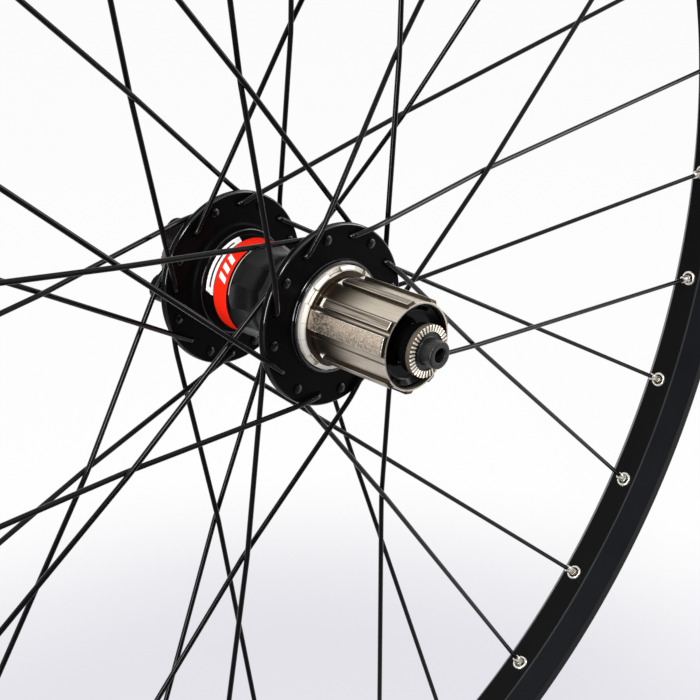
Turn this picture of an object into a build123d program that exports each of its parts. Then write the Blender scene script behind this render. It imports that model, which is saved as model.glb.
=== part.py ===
from build123d import *
import os
from math import asin, cos, degrees, hypot, radians, sin, sqrt

# Rear bicycle wheel with a six-bolt disc hub, in millimetres.
# The axle lies along Y through the origin, the wheel's centre, and the drive side is at -Y.

# Rim
bead_seat_d = 559.0
hook_height = 6.0
rim_depth = 16.0
rim_width = 25.6
rim_wall = 1.7
hook_wall = 2.5
hook_lip = 2.2
bead_shelf = 4.2
well_depth = 3.0
bridge_wall = 1.4
bed_width = 11.8
bed_wall = 1.7
parallel_wall = 6.0
valve_hole_d = 8.5
access_hole_d = 9.0
access_flats = 6

# Spokes, nipples and eyelets
spoke_count = 32
crossings = 3
spoke_d = 2.0
small_flats = 8
spoke_head_d = 3.7
spoke_hole_clear = 0.3
spoke_seat_gap = 0.05
spoke_face_gap = 0.2
spoke_cross_gap = 0.06
spoke_stagger = 0.8
nipple_flats = 3.2
nipple_corner = 0.6
nipple_head_d = 5.6
nipple_head_h = 1.9
nipple_out = 6.8
nipple_lift = 0.45
nipple_clear = 0.55
eyelet_d = 7.2
eyelet_lip = 0.9
eyelet_gap = 0.04
first_rim_angle = -1.4
hub_turn = -3.6

# Hub shell
flange_pcd = 59.0
flange_d = 68.0
flange_t = 3.0
flange_edge = 0.8
drive_flange_y = -19.7
left_flange_y = 34.8
flange_fillet = 3.0
collar_d = 41.0
collar_w = 1.6
barrel_d = 36.0
flute_count = 12
flute_d = 32.0
flute_depth = 2.2
flute_y = 8.0
flute_angle = 142.0
boss_wall = 2.2
boss_w = 9.0
boss_fillet = 6.0
lip_d = 41.6
lip_wall = 1.0
lip_h = 1.8
neck_d = 39.0
rotor_face_y = 52.2
rotor_lobe_t = 8.0
rotor_pcd = 44.0
rotor_bolts = 6
rotor_angle = 7.0
rotor_bolt_d = 4.2
rotor_bolt_depth = 7.0
rotor_lobe_d = 10.8
rotor_lobe_fillet = 2.5
rotor_spigot_d = 34.8
rotor_spigot_h = 1.4

# Axle, end caps and bearings
over_locknut = 135.0
axle_length = 145.0
skewer_bore = 5.2
axle_d = 12.0
axle_shoulder = 2.0
cap_wall = 1.0
cap_recess = 0.8
cap_socket = 4.0
cap_collar_d = 18.0
cap_collar_w = 3.6
stub_d = 9.9
serrated_ring_d = 18.9
serrated_ring_w = 2.4
serration_count = 36
serration_depth = 0.6
bearing_d = 24.0
bearing_w = 6.0
bearing_race_gap = 0.1
fit_gap = 0.02
left_bearing_y = 48.0
drive_bearing_y = -5.5
shield_d = 23.0
shield_t = 1.2
shield_gap = 0.6

# Freehub and ratchet
freehub_end_y = -61.7
base_ring_inset = 1.1
spline_root_d = 31.8
spline_height = 1.35
spline_count = 9
spline_arc = 12.0
spline_angle = 139.5
spline_bevel = 0.6
spline_runout = 2.6
spline_relief = 2.0
wide_spline_arc = 24.5
wide_spline_shift = 15.0
base_ring_d = 38.8
base_ring_w = 3.3
base_bevel = 1.0
notch_arc = 19.0
notch_w = 1.6
notch_depth = 0.9
lockring_bore = 29.6
lockring_depth = 5.2
freehub_bearing_y = -20.5
freehub_core_gap = 1.8
carrier_gap = 0.4
carrier_wall = 1.0
cover_t = 1.2
cover_gap = 0.3
cover_rim_h = 2.0
cover_flare = 2.6
ratchet_teeth = 24
ratchet_tip_d = 32.0
ratchet_tooth_h = 1.4
ratchet_wall = 1.2
ratchet_land = 3.5
ratchet_w = 6.4
ratchet_floor = 1.6
seal_t = 1.6
seal_gap = 0.3
pawl_count = 3
pawl_angle = 90.0
pawl_pivot_d = 3.0
pawl_depth = 1.7
pawl_reach = 6.5
pawl_tip_t = 1.6
pawl_root_gap = 0.4
pawl_end_gap = 0.85
pawl_socket_gap = 0.1
pawl_side_gap = 0.2
pawl_pocket_end = 0.9
spring_t = 0.25
spring_w = 4.0
spring_gap = 0.3

# Sizes that follow from these
bead_seat_r = bead_seat_d / 2
rim_r = bead_seat_r + hook_height
bed_r = rim_r - rim_depth
well_r = bead_seat_r - well_depth
rim_half = rim_width / 2
rim_pitch = 360 / spoke_count
hub_pitch = 2 * rim_pitch
flange_holes = spoke_count // 2
spoke_r = spoke_d / 2
spoke_hole_d = spoke_d + 2 * spoke_hole_clear
rim_hole_r = hypot(nipple_flats / 2, nipple_flats / 2 - nipple_corner) + nipple_clear
hub_r = flange_pcd / 2
flange_r = flange_d / 2
flange_y = {-1: drive_flange_y, 1: left_flange_y}
axle_r = axle_d / 2
bearing_r = bearing_d / 2
bearing_split_r = (axle_r + bearing_r) / 2
half_bearing = bearing_w / 2
cap_r = axle_r + cap_wall
axle_core_r = axle_r + axle_shoulder
locknut_y = over_locknut / 2
stub_y = axle_length / 2
cap_face_y = locknut_y - cap_recess
cap_socket_y = cap_face_y - cap_socket
lip_end_y = drive_flange_y - flange_t / 2 - lip_h
base_ring_y = lip_end_y + base_ring_inset
spline_start_y = base_ring_y - base_ring_w
spline_root_r = spline_root_d / 2
outboard_bearing_y = freehub_end_y + lockring_depth + half_bearing
drive_seat_y = drive_bearing_y - half_bearing
ratchet_tip_r = ratchet_tip_d / 2
ratchet_root_r = ratchet_tip_r + ratchet_tooth_h
ratchet_r = ratchet_root_r + ratchet_wall
carrier_r = ratchet_tip_r - carrier_gap
carrier_end_y = drive_seat_y - ratchet_floor + carrier_wall - carrier_gap
ratchet_y = carrier_end_y - carrier_wall
ratchet_end_y = ratchet_y - ratchet_w
core_r = axle_core_r + freehub_core_gap
pawl_pivot_r = carrier_r - pawl_depth

os.makedirs("parts", exist_ok=True)


def save(solid, name):
    solid.label = name
    export_step(solid, f"parts/{name}.step")


def polar(radius, angle, y=0.0):
    return Vector(radius * cos(radians(angle)), y, radius * sin(radians(angle)))


def clock(angle, y=0.0):
    # A plane square to the axle at station y, facing -Y, with its x direction at the angle.
    return Plane(origin=(0, y, 0), x_dir=polar(1, angle), z_dir=(0, -1, 0))


def radial_plane(angle):
    # A plane through the axle: local x is the radius, local y runs along the axle.
    return Plane(origin=(0, 0, 0), x_dir=polar(1, angle), z_dir=polar(1, angle + 90))


def turned(name, outline):
    # A lathe-turned piece from a closed outline of (radius, station) points.
    with BuildPart() as piece:
        with BuildSketch(Plane.XY):
            with BuildLine():
                Polyline(*outline, close=True)
            make_face()
        revolve(axis=Axis.Y)
    save(piece.part, name)


def sleeve(name, inner_r, outer_r, start_y, end_y):
    turned(name, [(inner_r, start_y), (outer_r, start_y), (outer_r, end_y), (inner_r, end_y)])


# Rim: a double-walled extrusion with a flat spoke bed, sloping flanks and hooked bead walls.
# Its spoke holes stand alternately left and right of the middle, under wider holes that let the nipples in.
flank_r = rim_r - parallel_wall
shelf_y = rim_half - rim_wall
well_y = shelf_y - bead_shelf
cavity_top = well_r - bridge_wall
cavity_low = bed_r + bed_wall
cavity_mid = (cavity_low + cavity_top) / 2
flank_slope = (rim_half - bed_width / 2) / (flank_r - bed_r)
cavity_y = bed_width / 2 - rim_wall
half_section = [
    (bed_r, bed_width / 2),
    (flank_r, rim_half),
    (rim_r, rim_half),
    (rim_r, rim_half - hook_wall),
    (rim_r - hook_lip, rim_half - hook_wall),
    (bead_seat_r, shelf_y),
    (bead_seat_r, well_y),
    (well_r, well_y - well_depth),
]
half_cavity = [
    (cavity_low, cavity_y),
    (cavity_top, cavity_y + flank_slope * (cavity_top - cavity_low)),
]
rim_holes = [(first_rim_angle + rim_pitch * i, 1 - 2 * (i % 2)) for i in range(spoke_count)]
valve_angle = first_rim_angle + rim_pitch * (spoke_count / 2 + 0.5)


def mirrored(points):
    # A section's half outline continued by its mirror image.
    return points + [(radius, -y) for radius, y in reversed(points)]


def rim_hole(angle, side):
    # Where a spoke's line meets the spoke bed.
    return polar(bed_r, angle, side * spoke_stagger)


with BuildPart() as rim:
    with BuildSketch(Plane.XY):
        with BuildLine():
            Polyline(*mirrored(half_section), close=True)
        make_face()
        with BuildLine():
            Polyline(*mirrored(half_cavity), close=True)
        make_face(mode=Mode.SUBTRACT)
    revolve(axis=Axis.Y)
    with BuildSketch(*[Plane(origin=rim_hole(a, side), z_dir=polar(1, a)) for a, side in rim_holes]):
        RegularPolygon(rim_hole_r, small_flats)
    extrude(amount=bed_wall + nipple_lift, both=True, mode=Mode.SUBTRACT)
    with BuildSketch(*[Plane(origin=polar(cavity_mid, a), z_dir=polar(1, a)) for a, side in rim_holes]):
        RegularPolygon(access_hole_d / 2, access_flats)
    extrude(amount=rim_depth / 2, mode=Mode.SUBTRACT)
    with BuildSketch(Plane(origin=polar(bed_r, valve_angle), z_dir=polar(1, valve_angle))):
        Circle(valve_hole_d / 2)
    extrude(amount=rim_depth, both=True, mode=Mode.SUBTRACT)
save(rim.part, "rim")

# Eyelets: pressed rings with a sloping lip on the spoke bed, one round each spoke hole.
eyelet_seats = [Plane(origin=rim_hole(a, side), z_dir=polar(-1, a)).offset(eyelet_gap) for a, side in rim_holes]
with BuildPart() as eyelets:
    with BuildSketch(*eyelet_seats):
        RegularPolygon(eyelet_d / 2, small_flats)
    extrude(amount=eyelet_lip, taper=45)
    with BuildSketch(*eyelet_seats):
        RegularPolygon(rim_hole_r, small_flats)
    extrude(amount=eyelet_lip, mode=Mode.SUBTRACT)
save(eyelets.part, "eyelets")


# Spokes: J-bend wires laced three-cross, sixteen to a flange and alternately on its two faces.
# Each outer spoke lies along its flange to the edge, then passes under the last spoke it crosses.
def is_outer(side, k):
    return (k % 2 == 0) == (side < 0)


def turn(k):
    return 1 if k % 2 else -1


def hub_angle(side, k):
    phase = rim_pitch if side > 0 else 0
    return first_rim_angle + rim_pitch + crossings * hub_pitch + hub_turn + phase + k * hub_pitch


def elbow(side, k):
    # The wire's centre where it leaves the flange hole.
    face = side if is_outer(side, k) else -side
    y = flange_y[side] + face * (flange_t / 2 + spoke_r + spoke_face_gap)
    return polar(hub_r, hub_angle(side, k), y)


def spoke_seat(side, k):
    return rim_hole(hub_angle(side, k) - hub_turn + turn(k) * crossings * hub_pitch, side)


def last_crossing(side, k):
    # The wires touch where they cross, the outer one passing on the wheel's inner side.
    partner = (k + turn(k) * (2 * crossings - 1)) % flange_holes
    start, end = elbow(side, k), spoke_seat(side, k)
    other_start, other_end = elbow(side, partner), spoke_seat(side, partner)
    run, other_run, lead = end - start, other_end - other_start, other_start - start
    span = run.X * other_run.Z - run.Z * other_run.X
    share = (lead.X * other_run.Z - lead.Z * other_run.X) / span
    other_share = (lead.X * run.Z - lead.Z * run.X) / span
    point = start + run * share
    other_point = other_start + other_run * other_share
    apart = side * (spoke_d + spoke_cross_gap) / 2
    y = (point.Y + other_point.Y) / 2 - (apart if is_outer(side, k) else -apart)
    return Vector(point.X, y, point.Z)


def flange_exit(side, k):
    # The point past the flange's edge where an outer wire turns towards the rim.
    start, aim = elbow(side, k), last_crossing(side, k)
    run = Vector(aim.X - start.X, 0, aim.Z - start.Z).normalized()
    along = start.X * run.X + start.Z * run.Z
    edge = flange_r + spoke_r
    return start + run * (sqrt(along**2 + edge**2 - hub_r**2) - along)


def spoke_route(side, k):
    bend = elbow(side, k)
    face = 1 if bend.Y > flange_y[side] else -1
    head_h = (spoke_head_d - spoke_d) / 2
    head_y = flange_y[side] - face * (flange_t / 2 + head_h - spoke_hole_clear + spoke_seat_gap)
    cross, seat = last_crossing(side, k), spoke_seat(side, k)
    tip = seat + (seat - cross).normalized() * (bed_wall + nipple_lift)
    head = Vector(bend.X, head_y, bend.Z)
    if is_outer(side, k):
        return [head, bend, flange_exit(side, k), cross, tip]
    return [head, bend, cross, tip]


def spoke_set(name, side, first):
    with BuildPart() as spokes:
        for k in range(first, flange_holes, 2):
            route = spoke_route(side, k)
            start = Plane(origin=route[0], z_dir=route[1] - route[0])
            with BuildLine() as path:
                Polyline(*route)
            with BuildSketch(start):
                RegularPolygon(spoke_r, small_flats)
            sweep(path=path.wire(), transition=Transition.RIGHT)
            with BuildSketch(start):
                RegularPolygon(spoke_head_d / 2, small_flats)
            extrude(amount=(spoke_head_d - spoke_d) / 2, taper=45)
    save(spokes.part, name)


spoke_set("spokes_drive_outer", -1, 0)
spoke_set("spokes_drive_inner", -1, 1)
spoke_set("spokes_left_outer", 1, 1)
spoke_set("spokes_left_inner", 1, 0)

# Nipples: square-shanked nuts in the eyelets, their heads inside the rim, in line with the spokes.
def spoke_aim(side, k):
    # A plane square to a spoke where it meets the spoke bed.
    seat = spoke_seat(side, k)
    return Plane(origin=seat, x_dir=(0, 1, 0), z_dir=seat - last_crossing(side, k))


spoke_aims = [spoke_aim(side, k) for side in (-1, 1) for k in range(flange_holes)]
with BuildPart() as nipples:
    with BuildSketch(*[aim.offset(-nipple_out) for aim in spoke_aims]):
        shank = Rectangle(nipple_flats, nipple_flats)
        chamfer(shank.vertices(), nipple_corner)
    extrude(amount=nipple_out + bed_wall + nipple_lift)
    with BuildSketch(*[aim.offset(bed_wall + nipple_lift) for aim in spoke_aims]):
        RegularPolygon(nipple_head_d / 2, 6)
    extrude(amount=nipple_head_h)
save(nipples.part, "nipples")

# Hub shell: barrel, two drilled flanges, a ring of petal flutes and the rotor mount, in one forging.
# The drive end is hollow for the ratchet, and both ends take a cartridge bearing.
barrel_r = barrel_d / 2
left_inner_y = left_flange_y - flange_t / 2
left_outer_y = left_flange_y + flange_t / 2
drive_inner_y = drive_flange_y + flange_t / 2
drive_outer_y = drive_flange_y - flange_t / 2
boss_r = ratchet_r + boss_wall
boss_y = drive_inner_y + boss_w
collar_r = collar_d / 2
fillet_mid = flange_fillet * (1 - cos(radians(45)))
collar_y = left_inner_y - flange_fillet - collar_w
spigot_r = rotor_spigot_d / 2
spigot_y = rotor_face_y + rotor_spigot_h
neck_r = neck_d / 2
seat_r = bearing_r + fit_gap
through_r = axle_core_r + freehub_core_gap
left_seat_y = left_bearing_y - half_bearing
with BuildPart() as hub_shell:
    with BuildSketch(Plane.XY):
        with BuildLine():
            Polyline(
                (collar_r, left_inner_y - flange_fillet),
                (collar_r, collar_y),
                (barrel_r, collar_y),
                (barrel_r, boss_y + boss_fillet),
                (boss_r, boss_y),
                (boss_r, drive_inner_y + flange_fillet),
                (boss_r + fillet_mid, drive_inner_y + fillet_mid),
                (boss_r + flange_fillet, drive_inner_y),
                (flange_r - flange_edge, drive_inner_y),
                (flange_r, drive_inner_y - flange_edge),
                (flange_r, drive_outer_y + flange_edge),
                (flange_r - flange_edge, drive_outer_y),
                (lip_d / 2, drive_outer_y),
                (lip_d / 2, lip_end_y),
                (lip_d / 2 - lip_wall, lip_end_y),
                (lip_d / 2 - lip_wall, drive_outer_y),
                (ratchet_r + fit_gap, drive_outer_y),
                (ratchet_r + fit_gap, ratchet_y),
                (ratchet_tip_r, ratchet_y),
                (ratchet_tip_r, carrier_end_y + carrier_gap),
                (seat_r, carrier_end_y + carrier_gap),
                (seat_r, drive_bearing_y + half_bearing),
                (through_r, drive_bearing_y + half_bearing),
                (through_r, left_seat_y),
                (seat_r, left_seat_y),
                (seat_r, spigot_y),
                (spigot_r, spigot_y),
                (spigot_r, rotor_face_y - rotor_lobe_t / 2),
                (neck_r, rotor_face_y - rotor_lobe_t / 2),
                (neck_r, left_outer_y),
                (flange_r - flange_edge, left_outer_y),
                (flange_r, left_outer_y - flange_edge),
                (flange_r, left_inner_y + flange_edge),
                (flange_r - flange_edge, left_inner_y),
                (collar_r + flange_fillet, left_inner_y),
                (collar_r + fillet_mid, left_inner_y - fillet_mid),
                close=True,
            )
        make_face()
    revolve(axis=Axis.Y)
    with BuildSketch(clock(rotor_angle, rotor_face_y)) as star:
        Circle(neck_r)
        with PolarLocations(rotor_pcd / 4, rotor_bolts):
            Rectangle(rotor_pcd / 2, rotor_lobe_d)
        roots = star.vertices().filter_by(lambda v: abs(hypot(v.X, v.Y) - neck_r) < fit_gap)
        fillet(roots, rotor_lobe_fillet)
        with PolarLocations(rotor_pcd / 2, rotor_bolts):
            Circle(rotor_lobe_d / 2)
        Circle(through_r, mode=Mode.SUBTRACT)
    extrude(amount=rotor_lobe_t)
    with BuildSketch(clock(rotor_angle, rotor_face_y)):
        with PolarLocations(rotor_pcd / 2, rotor_bolts):
            Circle(rotor_bolt_d / 2)
    extrude(amount=rotor_bolt_depth, mode=Mode.SUBTRACT)
    with BuildSketch(clock(0, left_seat_y)):
        Circle(seat_r)
    extrude(amount=left_seat_y - spigot_y, mode=Mode.SUBTRACT)
    for side in (-1, 1):
        with BuildSketch(clock(hub_angle(side, 0), flange_y[side])):
            with PolarLocations(hub_r, flange_holes):
                RegularPolygon(spoke_hole_d / 2, small_flats)
        extrude(amount=flange_t, both=True, mode=Mode.SUBTRACT)
    for i in range(flute_count):
        with BuildSketch(radial_plane(flute_angle + 360 / flute_count * i)):
            with Locations((barrel_r - flute_depth + flute_d / 2, flute_y)):
                Circle(flute_d / 2)
        extrude(amount=barrel_r / 2, both=True, mode=Mode.SUBTRACT)
save(hub_shell.part, "hub_shell")

# Ratchet ring: saw teeth pressed into the shell's drive end, steep faces set to be driven forwards.
tip_r = ratchet_root_r - pawl_root_gap
tip_angle = degrees(asin(pawl_reach / tip_r))
steep_angle = pawl_angle - tip_angle - degrees(pawl_end_gap / tip_r)
tooth_pitch = 360 / ratchet_teeth


def flat(point):
    # A clock-face point as sketch coordinates.
    return (point.X, point.Z)


tooth_points = []
for i in range(ratchet_teeth):
    steep = steep_angle + tooth_pitch * i
    tooth_points.append(flat(polar(ratchet_tip_r, steep)))
    tooth_points.append(flat(polar(ratchet_root_r, steep)))
    tooth_points.append(flat(polar(ratchet_root_r, steep + ratchet_land)))
with BuildPart() as ratchet_ring:
    with BuildSketch(clock(0, ratchet_y)):
        Circle(ratchet_r)
        with BuildLine():
            Polyline(*tooth_points, close=True)
        make_face(mode=Mode.SUBTRACT)
    extrude(amount=ratchet_w)
save(ratchet_ring.part, "ratchet_ring")

# Freehub seal: a rubber ring between the shell's mouth and the freehub's neck.
sleeve("freehub_seal", carrier_r + seal_gap, ratchet_r, drive_outer_y, drive_outer_y + seal_t)

# Cartridge bearings: an outer race with its seals, and an inner race, running on the split radius.
bearing_stations = {
    "hub_left": left_bearing_y,
    "hub_drive": drive_bearing_y,
    "freehub_inner": freehub_bearing_y,
    "freehub_outer": outboard_bearing_y,
}
for place, y in bearing_stations.items():
    split_in = bearing_split_r - bearing_race_gap / 2
    split_out = bearing_split_r + bearing_race_gap / 2
    sleeve(f"{place}_bearing_inner", axle_r + fit_gap, split_in, y - half_bearing, y + half_bearing)
    sleeve(f"{place}_bearing_outer", split_out, bearing_r, y - half_bearing, y + half_bearing)

# Axle: a hollow tube with a thicker middle between the hub's two bearings.
axle_start_y = drive_bearing_y + half_bearing
turned(
    "axle",
    [
        (skewer_bore / 2, -cap_socket_y),
        (axle_r, -cap_socket_y),
        (axle_r, axle_start_y),
        (axle_core_r, axle_start_y),
        (axle_core_r, left_seat_y),
        (axle_r, left_seat_y),
        (axle_r, cap_socket_y),
        (skewer_bore / 2, cap_socket_y),
    ],
)

# Spacers: sleeves that hold the inner races apart on the axle.
sleeve("hub_spacer", axle_r + fit_gap, axle_core_r, drive_seat_y, freehub_bearing_y + half_bearing)
sleeve(
    "freehub_spacer",
    axle_r + fit_gap,
    axle_core_r,
    freehub_bearing_y - half_bearing,
    outboard_bearing_y + half_bearing,
)

# End caps: sockets over the axle's ends, each with a collar and the stub that drops into the frame.
# The left one carries a flange that shields its bearing.
cap_in_r = axle_r + fit_gap
cap_collar_r = cap_collar_d / 2
ring_back_y = locknut_y - serrated_ring_w
collar_start_y = ring_back_y - cap_collar_w
stub_r = stub_d / 2
drive_cap_y = outboard_bearing_y - half_bearing
left_cap_y = left_bearing_y + half_bearing


def cap_end(sign):
    return [
        (cap_r, sign * collar_start_y),
        (cap_collar_r, sign * collar_start_y),
        (cap_collar_r, sign * ring_back_y),
        (cap_r, sign * ring_back_y),
        (cap_r, sign * cap_face_y),
        (stub_r, sign * cap_face_y),
        (stub_r, sign * stub_y),
        (skewer_bore / 2, sign * stub_y),
        (skewer_bore / 2, sign * cap_socket_y),
        (cap_in_r, sign * cap_socket_y),
    ]


turned("end_cap_drive", [(cap_in_r, drive_cap_y), (cap_r, drive_cap_y), *cap_end(-1)])
shield_start = left_cap_y + shield_gap
turned(
    "end_cap_left",
    [
        (cap_in_r, left_cap_y),
        (cap_r, left_cap_y),
        (cap_r, shield_start),
        (shield_d / 2, shield_start),
        (shield_d / 2, shield_start + shield_t),
        (cap_r, shield_start + shield_t),
        *cap_end(1),
    ],
)

# Serrated rings: hard washers on the caps whose radial teeth bite into the frame.
serration_half = serrated_ring_d / 2 * radians(180 / serration_count)


def serration_plane(sign, i):
    # A plane across one groove: local x goes into the ring's face, the normal runs outwards.
    outwards = polar(1, 360 / serration_count * i)
    return Plane(origin=(0, sign * locknut_y, 0), x_dir=(0, -sign, 0), z_dir=outwards)


for name, sign in (("serrated_ring_drive", -1), ("serrated_ring_left", 1)):
    with BuildPart() as serrated_ring:
        with BuildSketch(clock(0, sign * locknut_y)):
            Circle(serrated_ring_d / 2)
            Circle(cap_r + fit_gap, mode=Mode.SUBTRACT)
        extrude(amount=sign * serrated_ring_w)
        with BuildSketch(*[serration_plane(sign, i) for i in range(serration_count)]):
            with BuildLine():
                Polyline((0, -serration_half), (serration_depth, 0), (0, serration_half), close=True)
            make_face()
        extrude(amount=serrated_ring_d, mode=Mode.SUBTRACT)
    save(serrated_ring.part, name)

# Freehub body: a splined drum for the sprockets with one wide spline, a notched base ring,
# and a neck that carries the pawls inside the hub shell.
spline_top_r = spline_root_r + spline_height
base_ring_r = base_ring_d / 2
lockring_r = lockring_bore / 2
spline_end_y = freehub_end_y + spline_bevel
runout_y = spline_start_y - spline_relief
notch_y = spline_start_y + notch_w
splines = [(spline_angle + 360 / spline_count * i, spline_arc) for i in range(spline_count) if i != 1]
wide_angle = spline_angle + 360 / spline_count - wide_spline_shift
socket_r = pawl_pivot_d / 2 + pawl_socket_gap
pocket_end = pawl_reach + pawl_pocket_end
pawl_planes = [clock(pawl_angle - 90 + 360 / pawl_count * i, ratchet_y) for i in range(pawl_count)]
with BuildPart() as freehub_body:
    with BuildSketch(Plane.XY):
        with BuildLine():
            Polyline(
                (carrier_r, carrier_end_y),
                (carrier_r, base_ring_y),
                (base_ring_r, base_ring_y),
                (base_ring_r, spline_start_y + base_bevel),
                (base_ring_r - base_bevel, spline_start_y),
                (spline_root_r, spline_start_y),
                (spline_root_r, freehub_end_y),
                (lockring_r, freehub_end_y),
                (lockring_r, drive_cap_y),
                (seat_r, drive_cap_y),
                (seat_r, freehub_bearing_y + half_bearing),
                (core_r, freehub_bearing_y + half_bearing),
                (core_r, carrier_end_y),
                close=True,
            )
        make_face()
    revolve(axis=Axis.Y)
    for angle, arc in splines:
        with BuildSketch(radial_plane(angle + notch_arc / 2)):
            with BuildLine():
                Polyline(
                    (base_ring_r - base_bevel - notch_depth, spline_start_y),
                    (base_ring_r + base_bevel, spline_start_y),
                    (base_ring_r + base_bevel, notch_y),
                    (base_ring_r - base_bevel - notch_depth, notch_y),
                    close=True,
                )
            make_face()
        revolve(axis=Axis.Y, revolution_arc=notch_arc, mode=Mode.SUBTRACT)
        with BuildSketch(radial_plane(angle + arc / 2)):
            with BuildLine():
                Polyline(
                    (lockring_r + spline_height / 2, runout_y),
                    (spline_root_r, runout_y),
                    (spline_top_r, runout_y - spline_runout),
                    (spline_top_r, spline_end_y),
                    (spline_root_r, freehub_end_y),
                    (lockring_r + spline_height / 2, freehub_end_y),
                    close=True,
                )
            make_face()
        revolve(axis=Axis.Y, revolution_arc=arc)
    with BuildSketch(radial_plane(wide_angle + wide_spline_arc / 2)):
        with BuildLine():
            Polyline(
                (lockring_r + spline_height / 2, spline_start_y),
                (spline_top_r, spline_start_y),
                (spline_top_r, spline_end_y),
                (spline_root_r, freehub_end_y),
                (lockring_r + spline_height / 2, freehub_end_y),
                close=True,
            )
        make_face()
    revolve(axis=Axis.Y, revolution_arc=wide_spline_arc)
    for plane in pawl_planes:
        with BuildSketch(plane):
            with Locations((0, pawl_pivot_r)):
                Circle(socket_r)
            with Locations((0, pawl_pivot_r - socket_r)):
                Rectangle(pocket_end, carrier_r, align=(Align.MIN, Align.MIN))
            with Locations((-socket_r / 2, pawl_pivot_r)):
                Rectangle(pocket_end, carrier_r, align=(Align.MIN, Align.MIN))
        extrude(amount=ratchet_w, mode=Mode.SUBTRACT)
save(freehub_body.part, "freehub_body")

# Dust cover: a thin dish in the freehub's mouth over the outer bearing.
cover_in_r = cap_r + cover_gap
cover_r = lockring_r - fit_gap
cover_y = drive_cap_y - cover_gap
cover_floor_y = cover_y - cover_t
cover_rim_y = cover_floor_y - cover_rim_h
turned(
    "freehub_dust_cover",
    [
        (cover_in_r, cover_y),
        (cover_r, cover_y),
        (cover_r, cover_rim_y),
        (cover_r - cover_t / 2, cover_rim_y),
        (cover_r - cover_flare, cover_floor_y),
        (cover_in_r, cover_floor_y),
    ],
)

# Pawls: three teeth in the neck's pockets, each turning on its round heel and shown engaged.
pivot_r = pawl_pivot_d / 2
tip = (tip_r * sin(radians(tip_angle)), tip_r * cos(radians(tip_angle)))
under_r = tip_r - pawl_tip_t
under_tip = (under_r * sin(radians(tip_angle)), under_r * cos(radians(tip_angle)))
for i, plane in enumerate(pawl_planes):
    with BuildPart() as pawl:
        with BuildSketch(plane.offset(pawl_side_gap)):
            with Locations((0, pawl_pivot_r)):
                Circle(pivot_r)
            with BuildLine():
                Polyline((0, pawl_pivot_r + pivot_r), tip, under_tip, (0, pawl_pivot_r - pivot_r), close=True)
            make_face()
        extrude(amount=ratchet_w - 2 * pawl_side_gap)
    save(pawl.part, f"pawl_{i + 1}")

# Pawl springs: flat leaves on the pocket floors that push the pawls out.
with BuildPart() as pawl_springs:
    for plane in pawl_planes:
        with BuildSketch(plane.offset((ratchet_w - spring_w) / 2)):
            with Locations((pivot_r + spring_gap, pawl_pivot_r - socket_r)):
                Rectangle(pocket_end - pivot_r - 2 * spring_gap, spring_t, align=(Align.MIN, Align.MIN))
        extrude(amount=spring_w)
save(pawl_springs.part, "pawl_springs")
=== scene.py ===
import math

import bmesh
import bpy
from mathutils import Matrix, Vector


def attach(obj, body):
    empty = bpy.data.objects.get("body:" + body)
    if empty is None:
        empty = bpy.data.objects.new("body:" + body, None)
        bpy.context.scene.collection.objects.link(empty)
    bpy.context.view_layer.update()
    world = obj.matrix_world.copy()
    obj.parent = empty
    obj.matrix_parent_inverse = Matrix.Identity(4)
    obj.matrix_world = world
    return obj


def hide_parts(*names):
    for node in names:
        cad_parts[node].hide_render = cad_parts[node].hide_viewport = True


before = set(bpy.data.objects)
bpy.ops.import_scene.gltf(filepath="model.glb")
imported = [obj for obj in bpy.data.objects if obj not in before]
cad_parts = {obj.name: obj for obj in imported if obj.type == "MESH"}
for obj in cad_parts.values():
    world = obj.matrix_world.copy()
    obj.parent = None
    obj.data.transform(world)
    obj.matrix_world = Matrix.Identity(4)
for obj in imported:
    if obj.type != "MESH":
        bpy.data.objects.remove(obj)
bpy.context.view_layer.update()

# Rim
# A double-walled aluminium extrusion, rolled to a hoop, welded shut and black anodised.
# Its flat bed is drilled for spokes and valve, and the hooked walls outside it hold the tyre.
mm = 0.001
bed_r, bed_half, bed_wall = 269.5, 5.9, 1.7
flank_r, rim_half, rim_r = 279.5, 12.8, 285.5
hook_r, hook_half = 283.3, 10.3
seat_r, seat_half, seat_inner = 279.5, 11.1, 6.9
well_r, well_half, well_wall = 276.5, 3.9, 1.4
hollow_low, hollow_high = 4.2, 6.891
rim_edges = [  # radius, station and rounding of each corner of one half
    (bed_r, bed_half, 0.9),
    (flank_r, rim_half, 2.0),
    (rim_r, rim_half, 0.9),
    (rim_r, hook_half, 0.7),
    (hook_r, hook_half, 0.5),
    (seat_r, seat_half, 0.8),
    (seat_r, seat_inner, 1.0),
    (well_r, well_half, 1.5),
]
rim_hollow = [(bed_r + bed_wall, hollow_low, 0.6), (well_r - well_wall, hollow_high, 0.6)]
spoke_count, first_rim_angle, stagger = 32, -1.4, 0.8
rim_pitch = 360 / spoke_count
spoke_hole_r, access_hole_r, valve_hole_r = 2.437, 4.5, 4.25
spoke_drill, access_drill, valve_drill = (-2, 3.5), (4.5, 9), (-4, 12)  # how far out from the bed they run


def srgb(code):
    # A hex colour as the linear values that the shaders take.
    parts = [int(code[i : i + 2], 16) / 255 for i in (1, 3, 5)]
    return (*[c / 12.92 if c <= 0.04045 else ((c + 0.055) / 1.055) ** 2.4 for c in parts], 1)


def add(tree, kind, sockets=None, **settings):
    # A node with its settings, its fixed values and its links.
    made = tree.nodes.new("ShaderNode" + kind)
    for name, value in settings.items():
        setattr(made, name, value)
    for name, value in (sockets or {}).items():
        if isinstance(value, bpy.types.NodeSocket):
            tree.links.new(value, made.inputs[name])
        else:
            made.inputs[name].default_value = value
    return made


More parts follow.
